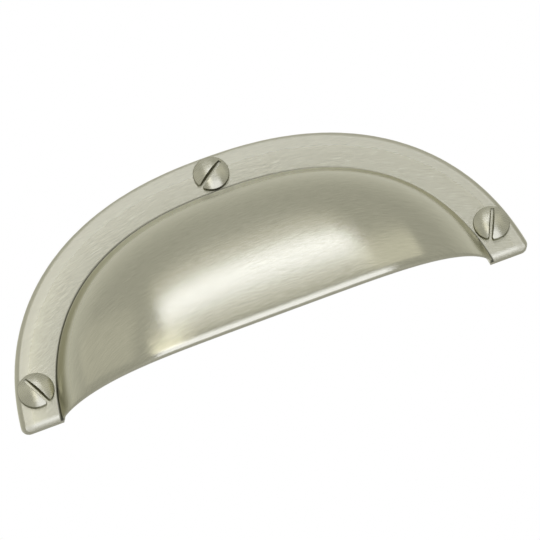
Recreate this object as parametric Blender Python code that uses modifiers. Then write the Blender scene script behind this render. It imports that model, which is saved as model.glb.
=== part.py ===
"""Cabinet cup pull, cast in one piece with three dummy screw heads on its plate.

Metres, +Z up. X runs along the pull, its front faces -Y and its back lies in the
plane y = 0. The origin is on the back, straight behind the top dummy head. The
shapes below are drawn from the middle of the line between the feet, as x, depth
in front of the back, and z.
"""

import math

import bmesh
import bpy
from mathutils import Matrix, Vector

# Fixing: two machine screws from inside the drawer, at a standard distance
screw_spacing = 0.064

# Hood: the finger cup that bulges from the plate, open below and behind
hood_overhang = 0.0101
hood_width = screw_spacing + 2 * hood_overhang
hood_height = 0.0307
hood_depth = 0.0155
hood_wall = 0.0015
side_wall = 0.0005
hood_drop = 0.0089
hood_power = 2.39
rim_power = 4.8
rim_flare = 1.3
side_power = 1.9
cove_radius = 0.00035
lip_height = 0.0015
lip_inset = 0.0005
lip_share = 0.1
hollow_edge = 0.0002
hollow_flare = 0.5

# Plate: a half oval that lies on the cabinet's face, with a foot at each end
foot_width = 0.00767
plate_width = hood_width + 2 * foot_width
crown_band = 0.0078
plate_height = hood_height + crown_band
plate_thickness = 0.0021
plate_drop = 0.007
plate_power = 2.3
plate_edge_radius = 0.001
foot_corner_radius = 0.0015
foot_edge_height = 0.0012
foot_edge_depth = 0.0005

# Dummy heads: domed and slotted, leaning so that their lower sides stand proud
head_diameter = 0.0068
head_edge = 0.00045
head_dome = 0.0008
head_lean = math.radians(5)
slot_width = 0.0004
slot_draft = math.radians(13)
slot_mouth_radius = 0.0005
slot_end_gap = 0.0005
slot_floor = 0.00004
head_share = 0.51
foot_head_height = 0.0068
top_head_height = hood_height + head_share * crown_band
foot_slot_lean = math.radians(26)
top_slot_lean = math.radians(55)

# Bosses: inside the cup, one for each machine screw
boss_height = 0.0085
boss_diameter = 0.007
boss_draft = math.radians(1.5)
boss_setback = 0.0003
boss_hole = 0.0033
boss_hole_depth = 0.0072
drill_point = math.radians(30)

# Mesh fineness
arch_steps = 80
arch_easing = 0.7
outline_steps = 600
side_steps = 14
hollow_steps = 9
edge_steps = 3
rim_edge_steps = 3
turn_steps = 32
dome_steps = 5

# Overlap that lets joined and cutting solids pass clean through each other
overrun = 0.001
bite = 0.0005
merge_distance = 1e-7


class Arch:
    """The top of an upright superellipse, cut off by the line between the feet."""

    def __init__(self, width, height, drop, power):
        self.rise = height + drop
        self.drop = drop
        self.power = power
        self.reach = width / 2 / self.share(0)

    def share(self, z):
        """How wide it is at height z, as a share of its widest."""
        return (1 - ((z + self.drop) / self.rise) ** self.power) ** (1 / self.power)

    def half_width(self, z):
        return self.reach * self.share(z)

    def points(self, lowest):
        """Points in x and z from its right to its left, down to z = lowest."""
        start = math.asin(((lowest + self.drop) / self.rise) ** (self.power / 2))
        found = []
        for share in steps(outline_steps):
            turn = start + (math.pi - 2 * start) * share
            across = abs(math.cos(turn)) ** (2 / self.power)
            up = math.sin(turn) ** (2 / self.power)
            x = math.copysign(self.reach * across, math.cos(turn))
            found.append((x, self.rise * up - self.drop))
        return found

    def outward(self, x, z):
        """Direction in x and z that points straight out of it."""
        across = abs(x / self.reach) ** (self.power - 1) / self.reach
        up = ((z + self.drop) / self.rise) ** (self.power - 1) / self.rise
        size = math.hypot(across, up)
        return math.copysign(across / size, x), up / size


def plate_arch():
    return Arch(plate_width, plate_height, plate_drop, plate_power)


def hood_arch(part):
    """Where the hood meets the plate's face, or a line a part of the way into its wall."""
    width = hood_width - 2 * part * side_wall
    return Arch(width, hood_height - part * hood_wall, hood_drop, hood_power)


def steps(count):
    return [index / count for index in range(count + 1)]


def spread(points, count):
    """Points along a line of points, closer together towards both of its ends."""
    run = [0.0]
    for (x, z), (next_x, next_z) in zip(points, points[1:]):
        run.append(run[-1] + math.hypot(next_x - x, next_z - z))
    found = []
    index = 0
    for share in steps(count):
        eased = share - arch_easing * math.sin(2 * math.pi * share) / (2 * math.pi)
        while index < len(run) - 2 and run[index + 1] < eased * run[-1]:
            index += 1
        part = (eased * run[-1] - run[index]) / (run[index + 1] - run[index])
        ends = zip(points[index], points[index + 1])
        found.append(tuple(near + part * (far - near) for near, far in ends))
    return found


def collection_named(name):
    collection = bpy.data.collections.new(name)
    bpy.context.scene.collection.children.link(collection)
    return collection


def place_mesh(name, bm, collection, carrier):
    """A new object for a mesh, closed up, facing out and hung on the carrier."""
    bmesh.ops.remove_doubles(bm, verts=bm.verts, dist=merge_distance)
    bmesh.ops.recalc_face_normals(bm, faces=bm.faces)
    mesh = bpy.data.meshes.new(name)
    bm.to_mesh(mesh)
    bm.free()
    made = bpy.data.objects.new(name, mesh)
    made.parent = carrier
    collection.objects.link(made)
    return made


def as_tool(tool):
    tool.hide_render = True
    tool.display_type = "WIRE"
    return tool


def boolean(target, operation, tool):
    modifier = target.modifiers.new(tool.name, "BOOLEAN")
    modifier.operation = operation
    modifier.object = tool
    modifier.solver = "EXACT"


# Plate


def plate_outline():
    """The half oval in x and z, with each foot's outer corner rounded."""
    arch = plate_arch().points(foot_corner_radius)
    corner = []
    for share in steps(outline_steps // 10)[:-1]:
        turn = math.pi / 2 * share
        x = arch[0][0] - foot_corner_radius * (1 - math.sin(turn))
        corner.append((x, foot_corner_radius * (1 - math.cos(turn))))
    return corner + arch + [(-x, z) for x, z in reversed(corner)]


def face_depth(z):
    """Depth of the plate's face, which rolls back to the feet's lower edges."""
    left = 1 - min(max(z / foot_edge_height, 0), 1)
    return plate_thickness - foot_edge_depth * left ** 2


def plate_section(outline, index):
    """From the plate's back round its outer edge, which fades out at the feet."""
    x, z = outline[index]
    before = outline[max(index - 1, 0)]
    after = outline[min(index + 1, len(outline) - 1)]
    along_x, along_z = after[0] - before[0], after[1] - before[1]
    size = math.hypot(along_x, along_z)
    fade = math.sin(math.pi / 2 * min(1.0, z / foot_corner_radius))
    radius = plate_edge_radius * fade
    section = [(x, 0.0, z)]
    for share in steps(edge_steps):
        turn = math.pi / 2 * share
        inset = radius * (1 - math.cos(turn))
        up = z + inset * along_x / size
        depth = face_depth(up) - radius * (1 - math.sin(turn))
        section.append((x - inset * along_z / size, depth, up))
    return section


# Hood


def rim_reach(x, width, depth):
    """How far the rim stands off the plate over x."""
    share = min(1.0, abs(2 * x / width))
    return depth * (1 - share ** rim_power) ** (1 / rim_flare)


def rim_outward(x, width, depth):
    """Direction in x and depth that points straight out of the rim over x."""
    share = abs(2 * x / width)
    left = max(merge_distance, 1 - share ** rim_power)
    bend = rim_power * share ** (rim_power - 1) * left ** (1 / rim_flare - 1) / rim_flare
    slope = bend * depth * 2 / width
    size = math.hypot(slope, 1)
    return math.copysign(slope / size, x), 1 / size


def edge_share(height, edge):
    """The share of a section's height that its rounded edge takes, less near the feet."""
    return edge / max(height, edge / lip_share)


def hood_side(x, height, width, depth, first, last, count):
    """From first off the plate over the bulge, down to a last share of the height."""
    reach = rim_reach(x, width, depth)
    start = math.asin((first / reach) ** (side_power / 2)) if first else 0.0
    end = math.acos(last ** (side_power / 2))
    found = []
    for share in steps(count):
        turn = start + (end - start) * share
        z = height * max(0.0, math.cos(turn)) ** (2 / side_power)
        off = reach * math.sin(turn) ** (2 / side_power)
        found.append((x, face_depth(height) + off, z))
    return found


def cove_section(arch, top, radius):
    """The small cove between the plate's face and the hood's side."""
    x, _, z = top
    out_x, out_z = arch.outward(x, z)
    found = []
    for share in steps(edge_steps)[:-1]:
        turn = math.pi / 2 * share
        out = radius * (1 - math.sin(turn))
        depth = face_depth(z) + radius * (1 - math.cos(turn))
        found.append((x + out * out_x, depth, z + out * out_z))
    return found


def rim_edge(side, width, depth, inwards):
    """A side with its last point rounded inwards on to the plane of the rim."""
    x, off, rise = side[-1]
    out_x, out_depth = rim_outward(x, width, depth)
    found = []
    for share in steps(rim_edge_steps):
        turn = math.pi / 2 * share
        inset = inwards * rise * (1 - math.cos(turn))
        found.append((x - inset * out_x, off - inset * out_depth, rise * (1 - math.sin(turn))))
    return side[:-1] + found


def hood_section(arch, x, z):
    """From the plate's face up the cove and down the hood's skin."""
    reach = rim_reach(x, hood_width, hood_depth)
    flare = cove_radius * reach / (reach + 2 * cove_radius)
    lip = edge_share(z, lip_height)
    side = hood_side(x, z, hood_width, hood_depth, flare, lip, side_steps)
    rounded = rim_edge(side, hood_width, hood_depth, lip_inset / lip_height)
    return cove_section(arch, side[0], flare) + rounded


def hollow_section(mouth, back):
    """From the rim up the inside of the wall and out to its flared edge at the back."""
    x, z = mouth
    width = hood_width - 2 * side_wall
    depth = hood_depth - hood_wall
    side = hood_side(x, z, width, depth, 0, edge_share(z, hollow_edge), hollow_steps)
    return rim_edge(side, width, depth, -1)[::-1] + [(back[0], 0.0, back[1])]


def make_casting(collection, carrier):
    """Plate and hood as one skin, lofted from foot to foot through its sections."""
    arch = hood_arch(0)
    outline = spread(plate_outline(), arch_steps)
    joint = spread(arch.points(0), arch_steps)
    mouth = spread(hood_arch(1).points(0), arch_steps)
    back = spread(hood_arch(1 - hollow_flare).points(0), arch_steps)

    bm = bmesh.new()
    rows = []
    for index in range(arch_steps + 1):
        section = plate_section(outline, index)
        section += hood_section(arch, *joint[index])
        section += hollow_section(mouth[index], back[index])
        rows.append([bm.verts.new((x, -depth, z)) for x, depth, z in section])
    for row, other in zip(rows, rows[1:]):
        for index in range(len(row)):
            face = (row[index - 1], row[index], other[index], other[index - 1])
            bm.faces.new(face)
    bm.faces.new(rows[0])
    bm.faces.new(rows[-1])
    return place_mesh("cup_pull", bm, collection, carrier)


# Bosses and dummy heads


def make_turned(name, collection, carrier, profile, place, lean):
    """A profile of radius and height turned round an axis that points forward."""
    bm = bmesh.new()
    verts = [bm.verts.new((radius, 0, height)) for radius, height in profile]
    for upper, lower in zip(verts, verts[1:]):
        bm.edges.new((upper, lower))
    turned = place_mesh(name, bm, collection, carrier)
    screw = turned.modifiers.new("turn", "SCREW")
    screw.steps = turn_steps
    screw.render_steps = turn_steps
    screw.use_merge_vertices = True
    screw.merge_threshold = merge_distance
    turned.location = place
    turned.rotation_euler.x = math.radians(90) - lean
    return as_tool(turned)


def make_core(collection, carrier):
    """The space out to the middle of the hood's wall, which the bosses end in."""
    width = hood_width - side_wall
    depth = hood_depth - hood_wall / 2
    bm = bmesh.new()
    rows = []
    for x, z in spread(hood_arch(0.5).points(0), arch_steps // 2):
        side = hood_side(x, z, width, depth, 0, 0, hollow_steps)
        section = [(x, -overrun, z)] + side
        rows.append([bm.verts.new((x, -depth, z)) for x, depth, z in section])
    for row, other in zip(rows, rows[1:]):
        for index in range(1, len(row)):
            bm.faces.new((row[index - 1], row[index], other[index], other[index - 1]))
    bm.faces.new([row[0] for row in rows])
    bm.faces.new([row[-1] for row in rows] + [rows[-1][0], rows[0][0]])
    return as_tool(place_mesh("core", bm, collection, carrier))


def boss_profile():
    """Radius and height down a drafted boss and up the hole in its end."""
    top = plate_thickness + hood_depth
    radius = boss_diameter / 2
    wide = radius + math.tan(boss_draft) * (top - boss_setback)
    bore = boss_hole / 2
    tip = boss_hole_depth + bore * math.tan(drill_point)
    outer = [(0, top), (wide, top), (radius, boss_setback)]
    return outer + [(bore, boss_setback), (bore, boss_hole_depth), (0, tip)]


def add_bosses(pull, collection, carrier):
    core = make_core(collection, carrier)
    for side, name in ((-1, "left"), (1, "right")):
        place = Vector((side * screw_spacing / 2, 0, boss_height))
        boss = make_turned("boss_" + name, collection, carrier, boss_profile(), place, 0)
        boolean(boss, "INTERSECT", core)
        boolean(pull, "UNION", boss)


def head_profile():
    """Radius and height down a low dome, its edge and its root in the plate."""
    radius = head_diameter / 2
    ball = (radius ** 2 + head_dome ** 2) / (2 * head_dome)
    span = math.asin(radius / ball)
    dome = []
    for share in steps(dome_steps):
        fall = ball * (1 - math.cos(span * share))
        dome.append((ball * math.sin(span * share), head_edge + head_dome - fall))
    return dome + [(radius, -bite), (0, -bite)]


def slot_outline(half):
    """A slot, its closed end up and its mouth rounded into the head's lower edge."""
    radius = head_diameter / 2
    across = half + slot_mouth_radius
    mouth = slot_mouth_radius - math.sqrt(radius ** 2 - across ** 2)
    side = [(half, radius - slot_end_gap)]
    for share in steps(edge_steps):
        turn = math.pi / 2 * share
        x = half + slot_mouth_radius * (1 - math.cos(turn))
        side.append((x, mouth - slot_mouth_radius * math.sin(turn)))
    side.append((across, -radius - overrun))
    return side + [(-x, z) for x, z in reversed(side)]


def make_slot(name, collection, carrier, place, lean):
    """A wedge that widens to the front, its closed end leaning from upright."""
    bm = bmesh.new()
    rings = []
    for up in (0, 2 * (head_edge + head_dome)):
        outline = slot_outline(slot_width / 2 + up * math.tan(slot_draft))
        rings.append([bm.verts.new((x, z, up)) for x, z in outline])
        bm.faces.new(rings[-1])
    near, far = rings
    for index in range(len(outline)):
        bm.faces.new((near[index - 1], near[index], far[index], far[index - 1]))
    slot = place_mesh(name, bm, collection, carrier)
    upright = Matrix.Rotation(math.radians(90), 4, "X")
    start = Matrix.Translation(place - Vector((0, slot_floor, 0)))
    slot.matrix_local = start @ upright @ Matrix.Rotation(-lean, 4, "Z")
    return as_tool(slot)


def add_heads(pull, collection, carrier):
    inner = hood_arch(0).half_width(foot_head_height)
    outer = plate_arch().half_width(foot_head_height)
    foot_x = inner + head_share * (outer - inner)
    places = (
        ("left", -foot_x, foot_head_height, -foot_slot_lean),
        ("top", 0, top_head_height, top_slot_lean),
        ("right", foot_x, foot_head_height, foot_slot_lean),
    )
    profile = head_profile()
    for name, x, z, lean in places:
        place = Vector((x, -plate_thickness, z))
        head = make_turned("head_" + name, collection, carrier, profile, place, head_lean)
        slot = make_slot("slot_" + name, collection, carrier, place, lean)
        boolean(head, "DIFFERENCE", slot)
        boolean(pull, "UNION", head)


def satin_nickel():
    material = bpy.data.materials.new("satin_nickel")
    material.use_nodes = True
    surface = material.node_tree.nodes["Principled BSDF"]
    surface.inputs["Base Color"].default_value = (0.56, 0.53, 0.46, 1)
    surface.inputs["Metallic"].default_value = 1.0
    surface.inputs["Roughness"].default_value = 0.34
    return material


def main():
    for old in list(bpy.data.objects):
        bpy.data.objects.remove(old)
    parts = collection_named("cabinet_cup_pull")
    tools = collection_named("cutters")
    feet = bpy.data.objects.new("feet_line", None)
    feet.location.z = -top_head_height
    parts.objects.link(feet)

    pull = make_casting(parts, feet)
    add_bosses(pull, tools, feet)
    add_heads(pull, tools, feet)
    pull.data.materials.append(satin_nickel())
    pull.data.shade_smooth()
    pull.data.set_sharp_from_angle(angle=math.radians(35))


main()
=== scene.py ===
"""Looks of the cabinet cup pull: one casting in brushed satin nickel, in a plain white studio.

Metres, +Z up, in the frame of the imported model: X runs along the pull, its front
faces -Y and its back lies in the plane y = 0. Sections are drawn from the middle of
the line between the feet, as x, depth in front of the back, and z.
"""

import math

import bmesh
import bpy
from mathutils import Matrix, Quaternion, Vector


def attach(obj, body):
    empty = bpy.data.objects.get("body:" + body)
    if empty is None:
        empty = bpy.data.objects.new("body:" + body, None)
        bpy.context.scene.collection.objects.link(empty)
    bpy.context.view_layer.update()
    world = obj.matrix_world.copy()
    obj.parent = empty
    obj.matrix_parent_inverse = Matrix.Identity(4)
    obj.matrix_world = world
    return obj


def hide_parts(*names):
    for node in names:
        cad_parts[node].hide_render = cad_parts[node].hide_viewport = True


# Hood and plate, as the casting was drawn
screw_spacing = 0.064
hood_overhang = 0.0101
hood_width = screw_spacing + 2 * hood_overhang
hood_height = 0.0307
hood_depth = 0.0155
hood_wall = 0.0015
side_wall = 0.0005
hood_drop = 0.0089
hood_power = 2.39
rim_power = 4.8
rim_flare = 1.3
side_power = 1.9
cove_radius = 0.00035
lip_height = 0.0015
lip_inset = 0.0005
lip_share = 0.1
hollow_edge = 0.0002
hollow_flare = 0.5
foot_width = 0.00767
plate_width = hood_width + 2 * foot_width
crown_band = 0.0078
plate_height = hood_height + crown_band
plate_thickness = 0.0021
plate_drop = 0.007
plate_power = 2.3
plate_edge_radius = 0.001
foot_corner_radius = 0.0015
foot_edge_height = 0.0012
foot_edge_depth = 0.0005

# Dummy heads
head_radius = 0.0034
head_edge = 0.00045
head_dome = 0.0008
head_rim_radius = 0.00012
head_lean = math.radians(5)
slot_width = 0.0004
slot_draft = math.radians(13)
slot_mouth_radius = 0.0005
slot_end_gap = 0.0005
slot_floor = 0.00004
head_share = 0.51
foot_head_height = 0.0068
top_head_height = hood_height + head_share * crown_band
foot_slot_lean = math.radians(26)
top_slot_lean = math.radians(55)

# Bosses inside the hood
boss_height = 0.0085
boss_radius = 0.0035
boss_draft = math.radians(1.5)
boss_setback = 0.0003
boss_hole = 0.0033
boss_hole_depth = 0.0072

# Fineness of the shown skin
arch_steps = 240
arch_easing = 0.7
outline_steps = 2400
side_steps = 56
hollow_steps = 26
face_steps = 6
edge_steps = 6
rim_edge_steps = 10
corner_steps = 60
head_segments = 96
head_rings = 160
head_rim_segments = 3
slot_steps = 2
boss_segments = 48

# Small gaps and limits
hold_gap = 0.00004
hold_limit = 0.25
skin_inset = 0.000001
bite = 0.0005
merge_distance = 1e-7
least_share = 1e-7
back_facing = 0.9
smooth_angle = math.radians(35)

# Brush lines: width and length of the fine and the broad ones, and where their arcs are centred
brush_lines = ((0.00012, 0.0022), (0.0003, 0.012))
brush_shares = (0.75, 0.25)
plate_brush_centre = -0.1 - top_head_height
hood_brush_centre = -0.4 - top_head_height
line_noise = {"detail": 2.0, "roughness": 0.6}
brush_depth = 0.000013
brush_anisotropy = 0.85
brush_turn = 0.25
tone_range = (0.3, 0.7)
brushed_light = (0.65, 0.635, 0.477)
brushed_dark = (0.56, 0.55, 0.412)

# Roughness of each region, and where the regions begin and end
plate_roughness = 0.25
edge_roughness = 0.38
edge_band = (0.4, 1.0)
hood_roughness = 0.16
nook_roughness = 0.45
nook_share = 0.9
head_roughness = 0.27
head_start = 0.0002
cast_roughness = 0.42
cast_facing = 0.05
cast_grain = 0.0006
pebble_noise = {"detail": 2.0, "roughness": 0.5}
grain_middle = 0.5
roughness_spread = 0.14
face_crown = 0.00005

# Painted shade: the colour darkened in the crease round the hood, and on the sides of the heads and of
# their slots
crease_core = 0.00015
crease_width = 0.0004
crease_rise = (0.0004, 0.0012)
crown_heights = (0.5, 1.0)
crown_growth = 2.0
crease_shade_strength = 0.9
# dark colour painted as shade in the crease and on the heads' walls
painted_shade_nickel = (0.08, 0.08, 0.05)
wall_shade = 0.55
wall_facing = 0.6

# Camera: a long lens in front of the pull, a little below it and to its left
camera_target = Vector((0.00297, -0.00463, -0.02238))
camera_distance = 0.62
camera_azimuth = math.radians(-7.65)
camera_elevation = math.radians(-18.15)
camera_roll = math.radians(-22.5)
camera_lens = 226.1
camera_sensor = 36.0
camera_clip = (0.01, 50.0)

# Room: a pale floor far below the pull, which hangs at the height of a cupboard's handle
floor_height = -0.8
floor_size = 12.0
floor_colour = (0.9, 0.9, 0.9)
floor_roughness = 0.8
room_colour = (0.5, 0.5, 0.5)
backdrop_colour = (1.0, 1.0, 1.0)
backdrop_start = -0.2
backdrop_full = 1.2
light_distance = 1.2
cool_white = (0.74, 0.76, 1.0)
warm_white = (1.0, 0.96, 0.9)

# Soft boxes: name, azimuth and elevation in degrees, width, height, brightness and colour
soft_boxes = (
    ("top", 7, 50, 0.5, 0.25, 0.27, warm_white),
    ("overhead", 6.5, 40, 0.43, 0.14, 2.7, cool_white),
    ("upper", 6.5, 33, 0.46, 0.13, 1.0, cool_white),
    ("front", 6, 26.5, 0.52, 0.17, 0.3, warm_white),
    ("left", -7.5, 12, 0.26, 0.6, 0.85, warm_white),
    ("right", 32.5, 26, 0.58, 0.44, 0.33, warm_white),
    ("side", -55, 35, 1.2, 0.7, 0.13, warm_white),
    ("low", 6, -18, 0.73, 0.97, 1.3, cool_white),
)


class Arch:
    """The top of an upright superellipse, cut off by the line between the feet."""

    def __init__(self, width, height, drop, power):
        self.rise = height + drop
        self.drop = drop
        self.power = power
        self.reach = width / 2 / self.share(0)

    def share(self, z):
        """How wide it is at height z, as a share of its widest."""
        return (1 - ((z + self.drop) / self.rise) ** self.power) ** (1 / self.power)

    def half_width(self, z):
        """How far it reaches to either side at height z."""
        return self.reach * self.share(z)

    def height(self, x):
        """How high it stands over x."""
        return self.rise * (1 - abs(x / self.reach) ** self.power) ** (1 / self.power) - self.drop

    def points(self, lowest):
        """Points in x and z from its right to its left, down to z = lowest."""
        start = math.asin(((lowest + self.drop) / self.rise) ** (self.power / 2))
        found = []
        for share in steps(outline_steps):
            turn = start + (math.pi - 2 * start) * share
            across = abs(math.cos(turn)) ** (2 / self.power)
            up = math.sin(turn) ** (2 / self.power)
            x = math.copysign(self.reach * across, math.cos(turn))
            found.append((x, self.rise * up - self.drop))
        return found

    def outward(self, x, z):
        """Direction in x and z that points straight out of it."""
        across = abs(x / self.reach) ** (self.power - 1) / self.reach
        up = ((z + self.drop) / self.rise) ** (self.power - 1) / self.rise
        size = math.hypot(across, up)
        return math.copysign(across / size, x), up / size


def plate_arch():
    """The plate's outer line, before its feet's corners are rounded."""
    return Arch(plate_width, plate_height, plate_drop, plate_power)


def hood_arch(part):
    """Where the hood meets the plate's face, or a line a part of the way into its wall."""
    width = hood_width - 2 * part * side_wall
    return Arch(width, hood_height - part * hood_wall, hood_drop, hood_power)


def steps(count):
    """Even shares from 0 to 1."""
    return [index / count for index in range(count + 1)]


def spread(points, count):
    """Points along a line of points, closer together towards both of its ends."""
    run = [0.0]
    for (x, z), (next_x, next_z) in zip(points, points[1:]):
        run.append(run[-1] + math.hypot(next_x - x, next_z - z))
    found = []
    index = 0
    for share in steps(count):
        eased = share - arch_easing * math.sin(2 * math.pi * share) / (2 * math.pi)
        while index < len(run) - 2 and run[index + 1] < eased * run[-1]:
            index += 1
        part = (eased * run[-1] - run[index]) / (run[index + 1] - run[index])
        ends = zip(points[index], points[index + 1])
        found.append(tuple(near + part * (far - near) for near, far in ends))
    return found


# Modelling by hand


def deselect_all():
    bpy.ops.object.select_all(action="DESELECT")


def take(piece):
    """Makes a piece the one that the operators act on."""
    deselect_all()
    piece.select_set(True)
    bpy.context.view_layer.objects.active = piece


def in_edit_mode(piece, mode="VERT"):
    """Opens a piece for editing with nothing selected and gives its edit mesh."""
    take(piece)
    bpy.ops.object.mode_set(mode="EDIT")
    bpy.ops.mesh.select_mode(type=mode)
    bpy.ops.mesh.select_all(action="DESELECT")
    return bmesh.from_edit_mesh(piece.data)


def leave_edit_mode():
    bpy.ops.object.mode_set(mode="OBJECT")


def close_up(piece):
    """Merges what lies together and turns all faces outwards."""
    in_edit_mode(piece)
    bpy.ops.mesh.select_all(action="SELECT")
    bpy.ops.mesh.remove_doubles(threshold=merge_distance)
    bpy.ops.mesh.normals_make_consistent(inside=False)
    leave_edit_mode()


def join_with(piece, tool, operation):
    """Adds or cuts a tool and deletes it."""
    take(piece)
    modifier = piece.modifiers.new(tool.name, "BOOLEAN")
    modifier.operation = operation
    modifier.object = tool
    modifier.solver = "MANIFOLD"
    bpy.ops.object.modifier_apply(modifier=modifier.name)
    bpy.data.objects.remove(tool)


def tube_through(name, rows):
    """A tube primitive, one unit tall, whose rings are cut and drawn on to the rows of points."""
    deselect_all()
    count = len(rows[0])
    bpy.ops.mesh.primitive_cylinder_add(vertices=count, radius=1, depth=1, end_fill_type="NGON")
    piece = bpy.context.object
    piece.name = name
    mesh = in_edit_mode(piece, "EDGE")
    for edge in mesh.edges:
        lower, upper = edge.verts
        edge.select = abs(upper.co.z - lower.co.z) > 0.5
    bpy.ops.mesh.subdivide(number_cuts=len(rows) - 2)
    leave_edit_mode()
    for vert in piece.data.vertices:
        around = math.atan2(vert.co.x, vert.co.y) / (2 * math.pi)
        row = rows[round((vert.co.z + 0.5) * (len(rows) - 1))]
        vert.co = row[round(around * count) % count]
    close_up(piece)
    return piece


# Casting


def in_frame(x, depth, z):
    """A section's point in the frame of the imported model."""
    return Vector((x, -depth, z - top_head_height))


def plate_outline():
    """The half oval in x and z, with each foot's outer corner rounded."""
    arch = plate_arch().points(foot_corner_radius)
    corner = []
    for share in steps(corner_steps)[:-1]:
        turn = math.pi / 2 * share
        x = arch[0][0] - foot_corner_radius * (1 - math.sin(turn))
        corner.append((x, foot_corner_radius * (1 - math.cos(turn))))
    return corner + arch + [(-x, z) for x, z in reversed(corner)]


def face_depth(z):
    """Depth of the plate's face, which rolls back to the feet's lower edges."""
    left = 1 - min(max(z / foot_edge_height, 0), 1)
    return plate_thickness - foot_edge_depth * left ** 2


def plate_section(outline, index):
    """From the plate's back round its outer edge, which fades out at the feet."""
    x, z = outline[index]
    before = outline[max(index - 1, 0)]
    after = outline[min(index + 1, len(outline) - 1)]
    along_x, along_z = after[0] - before[0], after[1] - before[1]
    size = math.hypot(along_x, along_z)
    radius = plate_edge_radius * math.sin(math.pi / 2 * min(1.0, z / foot_corner_radius))
    section = [(x, 0.0, z)]
    for share in steps(edge_steps):
        turn = math.pi / 2 * share
        inset = radius * (1 - math.cos(turn))
        up = z + inset * along_x / size
        depth = face_depth(up) - radius * (1 - math.sin(turn))
        section.append((x - inset * along_z / size, depth, up))
    return section


def plate_face(near, far):
    """Between the edge and the cove, held flat by a point close to each of them."""
    across, up = far[0] - near[0], far[2] - near[2]
    hold = min(hold_limit, hold_gap / math.hypot(across, up))
    found = []
    for share in steps(face_steps):
        part = hold + (1 - 2 * hold) * share
        z = near[2] + part * up
        found.append((near[0] + part * across, face_depth(z), z))
    return found


def rim_reach(x, width, depth):
    """How far the rim stands off the plate over x."""
    share = min(1.0, abs(2 * x / width))
    return depth * (1 - share ** rim_power) ** (1 / rim_flare)


def rim_outward(x, width, depth):
    """Direction in x and depth that points straight out of the rim over x."""
    share = abs(2 * x / width)
    left = max(least_share, 1 - share ** rim_power)
    bend = rim_power * share ** (rim_power - 1) * left ** (1 / rim_flare - 1) / rim_flare
    slope = bend * depth * 2 / width
    size = math.hypot(slope, 1)
    return math.copysign(slope / size, x), 1 / size


def edge_share(height, edge):
    """The share of a section's height that its rounded edge takes, less near the feet."""
    return edge / max(height, edge / lip_share)


def hood_side(x, height, width, depth, first, last, count):
    """From first off the plate over the bulge, down to a last share of the height."""
    reach = rim_reach(x, width, depth)
    start = math.asin((first / reach) ** (side_power / 2)) if first else 0.0
    end = math.acos(last ** (side_power / 2))
    found = []
    for share in steps(count):
        turn = start + (end - start) * share
        z = height * max(0.0, math.cos(turn)) ** (2 / side_power)
        off = reach * math.sin(turn) ** (2 / side_power)
        found.append((x, face_depth(height) + off, z))
    return found


def cove_section(arch, top, radius):
    """The small cove between the plate's face and the hood's side."""
    x, _, z = top
    out_x, out_z = arch.outward(x, z)
    found = []
    for share in steps(edge_steps)[:-1]:
        turn = math.pi / 2 * share
        out = radius * (1 - math.sin(turn))
        depth = face_depth(z) + radius * (1 - math.cos(turn))
        found.append((x + out * out_x, depth, z + out * out_z))
    return found


def rim_edge(side, width, depth, inwards):
    """A side with its last point rounded inwards on to the plane of the rim."""
    x, off, rise = side[-1]
    out_x, out_depth = rim_outward(x, width, depth)
    found = []
    for share in steps(rim_edge_steps):
        turn = math.pi / 2 * share
        inset = inwards * rise * (1 - math.cos(turn))
        found.append((x - inset * out_x, off - inset * out_depth, rise * (1 - math.sin(turn))))
    return side[:-1] + found


def hood_section(arch, x, z):
    """From the plate's face up the cove and down the hood's skin."""
    depth = hood_depth - skin_inset
    reach = rim_reach(x, hood_width, depth)
    flare = cove_radius * reach / (reach + 2 * cove_radius)
    lip = edge_share(z, lip_height)
    side = hood_side(x, z, hood_width, depth, flare, lip, side_steps)
    rounded = rim_edge(side, hood_width, depth, lip_inset / lip_height)
    return cove_section(arch, side[0], flare) + rounded


def hollow_section(mouth, back):
    """From the rim up the inside of the wall and out to its flared edge at the back."""
    x, z = mouth
    width = hood_width - 2 * side_wall
    depth = hood_depth - hood_wall
    side = hood_side(x, z, width, depth, 0, edge_share(z, hollow_edge), hollow_steps)
    return rim_edge(side, width, depth, -1)[::-1] + [(back[0], 0.0, back[1])]


def make_casting():
    """Plate and hood as one skin from foot to foot."""
    arch = hood_arch(0)
    outline = spread(plate_outline(), arch_steps)
    joint = spread(arch.points(0), arch_steps)
    mouth = spread(hood_arch(1).points(0), arch_steps)
    back = spread(hood_arch(1 - hollow_flare).points(0), arch_steps)
    rows = []
    for index in range(arch_steps + 1):
        plate = plate_section(outline, index)
        hood = hood_section(arch, *joint[index])
        section = plate + plate_face(plate[-1], hood[0]) + hood
        section += hollow_section(mouth[index], back[index])
        rows.append([in_frame(*point) for point in section])
    return tube_through("cup_pull_skin", rows)


# Bosses and dummy heads


def wall_middle(x, z):
    """Depth of the middle of the hood's wall over a point in the hollow."""
    reach = rim_reach(x, hood_width - side_wall, hood_depth - hood_wall / 2)
    share = min(1.0, z / hood_arch(0.5).height(x))
    return plate_thickness + reach * (1 - share ** side_power) ** (1 / side_power)


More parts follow.
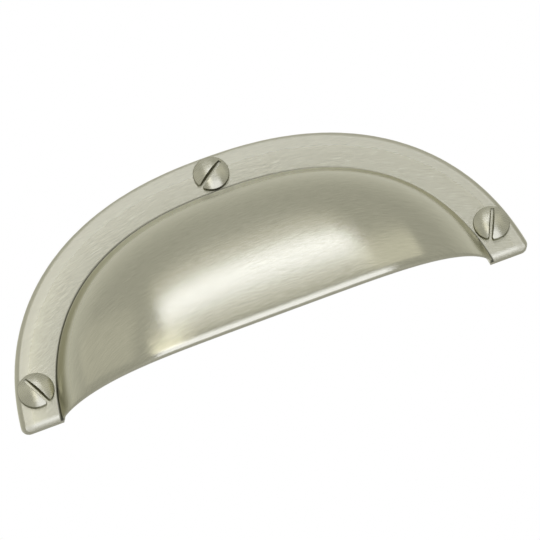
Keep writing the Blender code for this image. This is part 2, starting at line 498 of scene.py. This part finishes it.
def make_boss(side):
    """A drafted post from the wall's middle back to the plane of the cabinet's face."""
    deselect_all()
    middle = in_frame(side * screw_spacing / 2, 0, boss_height)
    bpy.ops.mesh.primitive_cylinder_add(
        vertices=boss_segments, radius=boss_radius, depth=1, location=middle, rotation=(math.pi / 2, 0, 0)
    )
    boss = bpy.context.object
    boss.name = "boss"
    bpy.ops.object.transform_apply(location=True, rotation=True, scale=True)
    spin = Vector((middle.x, 0, middle.z))
    for vert in boss.data.vertices:
        out = Vector((vert.co.x, 0, vert.co.z)) - spin
        if vert.co.y > 0:
            vert.co.y = -boss_setback
            continue
        depth = wall_middle(vert.co.x, vert.co.z + top_head_height)
        out *= 1 + math.tan(boss_draft) * (depth - boss_setback) / boss_radius
        vert.co = spin + out
        vert.co.y = -wall_middle(vert.co.x, vert.co.z + top_head_height)
    mesh = in_edit_mode(boss, "FACE")
    for face in mesh.faces:
        face.select = face.normal.y > back_facing
    bpy.ops.mesh.inset(thickness=boss_radius - boss_hole / 2)
    bpy.ops.mesh.extrude_region_move(
        TRANSFORM_OT_translate={"value": (0, boss_setback - boss_hole_depth, 0)}
    )
    leave_edit_mode()
    return boss


def make_head():
    """A low dome with a straight edge, bisected from a ball, in front of z = 0."""
    deselect_all()
    ball = (head_radius ** 2 + head_dome ** 2) / (2 * head_dome)
    bpy.ops.mesh.primitive_uv_sphere_add(radius=ball, segments=head_segments, ring_count=head_rings)
    head = bpy.context.object
    head.name = "head"
    for vert in head.data.vertices:
        vert.co.z += head_edge + head_dome - ball
    in_edit_mode(head)
    bpy.ops.mesh.select_all(action="SELECT")
    bpy.ops.mesh.bisect(
        plane_co=(0, 0, head_edge), plane_no=(0, 0, 1), clear_inner=True, use_fill=True,
        threshold=merge_distance,
    )
    bpy.ops.mesh.extrude_region_move(TRANSFORM_OT_translate={"value": (0, 0, -head_edge - bite)})
    leave_edit_mode()
    close_up(head)
    mesh = in_edit_mode(head, "EDGE")
    for edge in mesh.edges:
        edge.select = all(abs(vert.co.z - head_edge) < merge_distance for vert in edge.verts)
    bpy.ops.mesh.bevel(offset=head_rim_radius, segments=head_rim_segments)
    leave_edit_mode()
    return head


def slot_outline(half):
    """A slot, its closed end up and its mouth rounded into the head's lower edge."""
    across = half + slot_mouth_radius
    mouth = slot_mouth_radius - math.sqrt(head_radius ** 2 - across ** 2)
    side = [(half, head_radius - slot_end_gap)]
    for share in steps(edge_steps):
        turn = math.pi / 2 * share
        x = half + slot_mouth_radius * (1 - math.cos(turn))
        side.append((x, mouth - slot_mouth_radius * math.sin(turn)))
    side.append((across, -head_radius - bite))
    return side + [(-x, z) for x, z in reversed(side)]


def make_slot():
    """A wedge that widens to the front, drawn through the dome on rings."""
    rings = []
    for share in steps(slot_steps):
        up = 2 * (head_edge + head_dome) * share
        outline = slot_outline(slot_width / 2 + up * math.tan(slot_draft))
        rings.append([Vector((x, z, up)) for x, z in outline])
    return tube_through("slot", rings)


def set_in_place(piece, place, tip, turn):
    """Stands a piece on the plate, tipped from facing front and turned about its axis."""
    take(piece)
    piece.rotation_mode = "QUATERNION"
    tipped = Quaternion((1, 0, 0), math.radians(90) - tip)
    piece.rotation_quaternion = tipped @ Quaternion((0, 0, 1), turn)
    piece.location = place
    bpy.ops.object.transform_apply(location=True, rotation=True, scale=True)


def add_heads(pull):
    """Joins the three dummy heads to the plate and gives their places."""
    inner = hood_arch(0).half_width(foot_head_height)
    outer = plate_arch().half_width(foot_head_height)
    foot_x = inner + head_share * (outer - inner)
    places = (
        (-foot_x, foot_head_height, -foot_slot_lean),
        (0, top_head_height, top_slot_lean),
        (foot_x, foot_head_height, foot_slot_lean),
    )
    for x, z, slot_lean in places:
        head = make_head()
        set_in_place(head, in_frame(x, plate_thickness, z), head_lean, 0)
        slot = make_slot()
        set_in_place(slot, in_frame(x, plate_thickness + slot_floor, z), 0, -slot_lean)
        join_with(head, slot, "DIFFERENCE")
        join_with(pull, head, "UNION")
    return [in_frame(x, plate_thickness, z) for x, z, _ in places]


def mark_cast_skin(pull):
    """Marks the back and the inside of the hood, which are plated but never brushed."""
    mark = pull.data.attributes.new("cast_skin", "FLOAT", "POINT")
    found = [float(vert.normal.y > cast_facing) for vert in pull.data.vertices]
    mark.data.foreach_set("value", found)


def mark_head_wall_shade(pull, places):
    """Marks the sides of the heads and of their slots, where painted shade darkens their colour."""
    mark = pull.data.attributes.new("head_wall_shade", "FLOAT", "FACE")
    found = []
    for face in pull.data.polygons:
        x, y, z = face.center
        near = any(math.hypot(x - spot.x, z - spot.z) < head_radius + merge_distance for spot in places)
        raised = -y > plate_thickness + slot_floor / 2
        # faces on the heads' and slots' sides that get painted shade
        found.append(float(near and raised and face.normal.y > -wall_facing))
    mark.data.foreach_set("value", found)


def make_pull():
    """The whole casting, which takes the place of its plain solid."""
    pull = make_casting()
    for side in (-1, 1):
        join_with(pull, make_boss(side), "UNION")
    places = add_heads(pull)
    take(pull)
    bpy.ops.object.shade_smooth_by_angle(angle=smooth_angle)
    mark_cast_skin(pull)
    mark_head_wall_shade(pull, places)
    pull.data.materials.clear()
    pull.data.materials.append(satin_nickel())
    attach(pull, "root")
    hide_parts("cup_pull")


# Finish


def add_group(name, inputs, outputs):
    """A new node group with named inputs and outputs, and its two ends."""
    tree = bpy.data.node_groups.new(name, "ShaderNodeTree")
    for label, kind in inputs.items():
        tree.interface.new_socket(label, in_out="INPUT", socket_type=kind)
    for label in outputs:
        tree.interface.new_socket(label, in_out="OUTPUT", socket_type="NodeSocketFloat")
    return tree, tree.nodes.new("NodeGroupInput"), tree.nodes.new("NodeGroupOutput")


def use_group(tree, group, values):
    """A group in a node tree, with its inputs set or linked."""
    node = tree.nodes.new("ShaderNodeGroup")
    node.node_tree = group
    for label, value in values.items():
        feed(tree, value, node.inputs[label])
    return node


def feed(tree, value, socket):
    """Sets a socket to a number or a colour, or links another socket to it."""
    if isinstance(value, (int, float)):
        socket.default_value = value
    elif isinstance(value, tuple):
        socket.default_value = (*value, 1)
    else:
        tree.links.new(value, socket)


def work_out(tree, operation, *values):
    """A sum of one or more numbers or sockets."""
    node = tree.nodes.new("ShaderNodeMath")
    node.operation = operation
    for value, socket in zip(values, node.inputs):
        feed(tree, value, socket)
    return node.outputs["Value"]


def ramp(tree, value, low, high, to_low=0.0, to_high=1.0, kind="SMOOTHSTEP"):
    """A step from one value to another while the first goes from low to high."""
    node = tree.nodes.new("ShaderNodeMapRange")
    node.interpolation_type = kind
    feed(tree, value, node.inputs["Value"])
    feed(tree, low, node.inputs["From Min"])
    feed(tree, high, node.inputs["From Max"])
    feed(tree, to_low, node.inputs["To Min"])
    feed(tree, to_high, node.inputs["To Max"])
    return node.outputs["Result"]


def between(tree, mask, first, second):
    """The first value where a mask is 0 and the second where it is 1."""
    return ramp(tree, mask, 0.0, 1.0, first, second)


def mix_colours(tree, mask, first, second):
    """The first colour where a mask is 0 and the second where it is 1."""
    node = tree.nodes.new("ShaderNodeMix")
    node.data_type = "RGBA"
    feed(tree, mask, node.inputs["Factor"])
    feed(tree, first, node.inputs["A"])
    feed(tree, second, node.inputs["B"])
    return node.outputs["Result"]


def split(tree, vector):
    node = tree.nodes.new("ShaderNodeSeparateXYZ")
    tree.links.new(vector, node.inputs["Vector"])
    return node.outputs["X"], node.outputs["Y"], node.outputs["Z"]


def noise(tree, vector, detail, roughness):
    node = tree.nodes.new("ShaderNodeTexNoise")
    tree.links.new(vector, node.inputs["Vector"])
    node.inputs["Scale"].default_value = 1.0
    node.inputs["Detail"].default_value = detail
    node.inputs["Roughness"].default_value = roughness
    return node.outputs["Fac"]


def bump(tree, height, depth):
    node = tree.nodes.new("ShaderNodeBump")
    node.inputs["Strength"].default_value = 1.0
    node.inputs["Distance"].default_value = depth
    feed(tree, height, node.inputs["Height"])
    return node


def read_mark(tree, name):
    """The value that was marked on the mesh under a name."""
    node = tree.nodes.new("ShaderNodeAttribute")
    node.attribute_name = name
    return node.outputs["Fac"]


def crease_shade_mask(tree, arch, share, up, depth):
    """Painted shade along the line where hood and plate meet, wider towards the crown and never on the
    back.

    It fades from its core to its width on both sides of the joint, and as it rises off the plate.
    """
    growth = ramp(tree, up, *crown_heights, 1.0, crown_growth)
    away = work_out(tree, "ABSOLUTE", work_out(tree, "SUBTRACT", share, 1.0))
    away = work_out(tree, "DIVIDE", away, growth)
    near = ramp(tree, away, crease_core / arch.rise, crease_width / arch.rise, 1.0, 0.0)
    off = work_out(tree, "DIVIDE", work_out(tree, "SUBTRACT", depth, plate_thickness), growth)
    low = ramp(tree, off, *crease_rise, 1.0, 0.0)
    least_depth = plate_thickness - foot_edge_depth - crease_width
    low = work_out(tree, "MULTIPLY", low, work_out(tree, "GREATER_THAN", depth, least_depth))
    return work_out(tree, "MULTIPLY", near, low)


def make_regions():
    """Masks worked out from a point's place.

    Hood is the hood's skin, and Nook its part next to the plate. CreaseShade is the painted
    shade along the line between the two. Head is what stands proud of the plate. Crown and Edge
    grow on the plate's face from its middle line, Crown to both of its sides and Edge to the outer one.
    """
    tree, start, end = add_group(
        "pull_regions",
        {"Position": "NodeSocketVector"},
        ("Hood", "Nook", "CreaseShade", "Head", "Crown", "Edge"),
    )
    arch = hood_arch(0)
    x, y, z = split(tree, start.outputs["Position"])
    depth = work_out(tree, "MULTIPLY", y, -1.0)
    across = work_out(tree, "ABSOLUTE", work_out(tree, "DIVIDE", x, arch.reach))
    height = work_out(tree, "ADD", z, top_head_height + arch.drop)
    up = work_out(tree, "MAXIMUM", work_out(tree, "DIVIDE", height, arch.rise), 0.0)
    powers = [work_out(tree, "POWER", part, arch.power) for part in (across, up)]
    share = work_out(tree, "POWER", work_out(tree, "ADD", *powers), 1 / arch.power)
    band = ramp(tree, share, 1.0, plate_arch().rise / arch.rise, -1.0, 1.0, "LINEAR")
    masks = {
        "Hood": work_out(tree, "LESS_THAN", share, 1 + crease_width / arch.rise),
        "Nook": ramp(tree, share, nook_share, 1.0),
        "CreaseShade": crease_shade_mask(tree, arch, share, up, depth),
        "Head": work_out(tree, "GREATER_THAN", depth, plate_thickness + head_start),
        "Crown": work_out(tree, "MULTIPLY", band, band),
        "Edge": ramp(tree, band, *edge_band),
    }
    for label, mask in masks.items():
        tree.links.new(mask, end.inputs[label])
    return tree


def make_grain():
    """Brush lines, drawn as arcs round a centre far below the pull."""
    tree, start, end = add_group(
        "brush_grain",
        {
            "Position": "NodeSocketVector", "Centre Height": "NodeSocketFloat",
            "Line Width": "NodeSocketFloat", "Line Length": "NodeSocketFloat",
        },
        ("Grain",),
    )
    x, y, z = split(tree, start.outputs["Position"])
    height = work_out(tree, "SUBTRACT", z, start.outputs["Centre Height"])
    squares = [work_out(tree, "MULTIPLY", part, part) for part in (x, height)]
    radius = work_out(tree, "SQRT", work_out(tree, "ADD", *squares))
    outwards = work_out(tree, "ADD", radius, y)
    along = work_out(tree, "MULTIPLY", work_out(tree, "ARCTAN2", x, height), radius)
    lines = tree.nodes.new("ShaderNodeCombineXYZ")
    feed(tree, work_out(tree, "DIVIDE", outwards, start.outputs["Line Width"]), lines.inputs["X"])
    feed(tree, work_out(tree, "DIVIDE", along, start.outputs["Line Length"]), lines.inputs["Y"])
    tree.links.new(noise(tree, lines.outputs["Vector"], **line_noise), end.inputs["Grain"])
    return tree


def brush_pattern(tree, position, hood):
    """Fine and broad brush lines together, in flatter arcs on the hood than on the plate."""
    group = make_grain()
    apart = work_out(tree, "MULTIPLY", hood, hood_brush_centre - plate_brush_centre)
    centre = work_out(tree, "ADD", apart, plate_brush_centre)
    parts = []
    for (width, length), share in zip(brush_lines, brush_shares):
        lines = use_group(tree, group, {
            "Position": position, "Centre Height": centre, "Line Width": width, "Line Length": length,
        })
        parts.append(work_out(tree, "MULTIPLY", lines.outputs["Grain"], share))
    return work_out(tree, "ADD", *parts)


def pebble_pattern(tree, position):
    """The casting's own fine skin, where it isn't brushed."""
    scaled = tree.nodes.new("ShaderNodeVectorMath")
    scaled.operation = "SCALE"
    scaled.inputs["Scale"].default_value = 1 / cast_grain
    tree.links.new(position, scaled.inputs[0])
    return noise(tree, scaled.outputs["Vector"], **pebble_noise)


def nickel_colour(tree, grain, crease):
    """Lighter and darker with the grain, with painted shade in the crease and on the heads' walls."""
    bright = mix_colours(tree, ramp(tree, grain, *tone_range), brushed_dark, brushed_light)
    # painted shade along the crease between hood and plate
    shade_in_crease = work_out(tree, "MULTIPLY", crease, crease_shade_strength)
    # painted shade on the sides of the heads and of their slots
    shade_on_walls = work_out(tree, "MULTIPLY", read_mark(tree, "head_wall_shade"), wall_shade)
    return mix_colours(tree, work_out(tree, "MAXIMUM", shade_in_crease, shade_on_walls), bright, painted_shade_nickel)


def nickel_roughness(tree, grain, cast, regions):
    """Each region's own roughness, varied by the grain."""
    hood = between(tree, regions["Nook"], hood_roughness, nook_roughness)
    face = between(tree, regions["Edge"], plate_roughness, edge_roughness)
    plate = between(tree, regions["Head"], face, head_roughness)
    front = between(tree, regions["Hood"], plate, hood)
    plain = between(tree, cast, front, cast_roughness)
    off_middle = work_out(tree, "SUBTRACT", grain, grain_middle)
    return work_out(tree, "ADD", plain, work_out(tree, "MULTIPLY", off_middle, roughness_spread))


def satin_nickel():
    """Satin nickel: brushed in arcs on the front, and left as cast behind it."""
    material = bpy.data.materials.new("satin_nickel")
    material.use_nodes = True
    tree = material.node_tree
    surface = tree.nodes["Principled BSDF"]
    surface.inputs["Metallic"].default_value = 1.0
    surface.inputs["Anisotropic"].default_value = brush_anisotropy
    surface.inputs["Anisotropic Rotation"].default_value = brush_turn
    position = tree.nodes.new("ShaderNodeTexCoord").outputs["Object"]
    regions = use_group(tree, make_regions(), {"Position": position}).outputs
    cast = read_mark(tree, "cast_skin")
    lines = brush_pattern(tree, position, regions["Hood"])
    grain = between(tree, cast, lines, pebble_pattern(tree, position))
    crown = bump(tree, regions["Crown"], face_crown)
    crown.invert = True
    fine = bump(tree, grain, brush_depth)
    feed(tree, crown.outputs["Normal"], fine.inputs["Normal"])
    feed(tree, nickel_colour(tree, grain, regions["CreaseShade"]), surface.inputs["Base Color"])
    feed(tree, nickel_roughness(tree, grain, cast, regions), surface.inputs["Roughness"])
    feed(tree, fine.outputs["Normal"], surface.inputs["Normal"])
    return material


# Studio


def back_towards(azimuth, elevation):
    """Unit vector from the pull to where something stands in front of it."""
    flat = math.cos(elevation)
    return Vector((math.sin(azimuth) * flat, -math.cos(azimuth) * flat, math.sin(elevation)))


def make_camera():
    """A long lens on the pull, turned about its own axis until the pull leans as it should."""
    data = bpy.data.cameras.new("camera")
    data.lens = camera_lens
    data.sensor_width = camera_sensor
    data.clip_start, data.clip_end = camera_clip
    camera = bpy.data.objects.new("camera", data)
    bpy.context.scene.collection.objects.link(camera)
    back = back_towards(camera_azimuth, camera_elevation)
    camera.location = camera_target + back * camera_distance
    level = (-back).to_track_quat("-Z", "Y")
    camera.rotation_mode = "QUATERNION"
    camera.rotation_quaternion = level @ Quaternion((0, 0, 1), camera_roll)
    bpy.context.scene.camera = camera


def make_world():
    """White behind the pull, also in its reflections, and a plain grey room in front."""
    world = bpy.data.worlds.new("studio")
    bpy.context.scene.world = world
    world.use_nodes = True
    tree = world.node_tree
    tree.nodes.clear()
    rays = tree.nodes.new("ShaderNodeLightPath").outputs
    _, backwards, _ = split(tree, tree.nodes.new("ShaderNodeTexCoord").outputs["Generated"])
    behind = ramp(tree, backwards, backdrop_start, backdrop_full, kind="LINEAR")
    mirrored = work_out(tree, "MULTIPLY", behind, rays["Is Glossy Ray"])
    mix = tree.nodes.new("ShaderNodeMixShader")
    feed(tree, work_out(tree, "MAXIMUM", mirrored, rays["Is Camera Ray"]), mix.inputs["Fac"])
    for colour, socket in zip((room_colour, backdrop_colour), mix.inputs[1:]):
        background = tree.nodes.new("ShaderNodeBackground")
        feed(tree, colour, background.inputs["Color"])
        feed(tree, background.outputs["Background"], socket)
    out = tree.nodes.new("ShaderNodeOutputWorld")
    feed(tree, mix.outputs["Shader"], out.inputs["Surface"])


def make_floor():
    """A plain pale floor, which isn't part of the pull."""
    deselect_all()
    bpy.ops.mesh.primitive_plane_add(size=floor_size, location=(0, 0, floor_height))
    floor = bpy.context.object
    floor.name = "floor"
    material = bpy.data.materials.new("pale_floor")
    material.use_nodes = True
    surface = material.node_tree.nodes["Principled BSDF"]
    surface.inputs["Base Color"].default_value = (*floor_colour, 1)
    surface.inputs["Roughness"].default_value = floor_roughness
    floor.data.materials.append(material)


def add_light(name, azimuth, elevation, width, height, brightness, colour):
    """A soft box that faces the pull, as bright as a white card under plain light times
    its brightness."""
    data = bpy.data.lights.new(name, "AREA")
    data.shape = "RECTANGLE"
    data.size = width
    data.size_y = height
    data.color = colour
    data.energy = brightness * math.pi * width * height
    lamp = bpy.data.objects.new(name, data)
    bpy.context.scene.collection.objects.link(lamp)
    back = back_towards(math.radians(azimuth), math.radians(elevation))
    lamp.visible_camera = False
    lamp.location = camera_target + back * light_distance
    lamp.rotation_mode = "QUATERNION"
    lamp.rotation_quaternion = (-back).to_track_quat("-Z", "Y")


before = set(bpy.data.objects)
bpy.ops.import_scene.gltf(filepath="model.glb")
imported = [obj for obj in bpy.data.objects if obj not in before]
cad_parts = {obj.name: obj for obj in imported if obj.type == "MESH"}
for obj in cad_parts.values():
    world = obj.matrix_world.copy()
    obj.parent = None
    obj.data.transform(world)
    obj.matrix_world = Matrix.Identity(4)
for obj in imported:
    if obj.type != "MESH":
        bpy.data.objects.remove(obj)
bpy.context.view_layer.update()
bpy.context.scene.view_settings.view_transform = "Standard"
make_camera()
make_world()
make_floor()
for soft_box in soft_boxes:
    add_light(*soft_box)
make_pull()
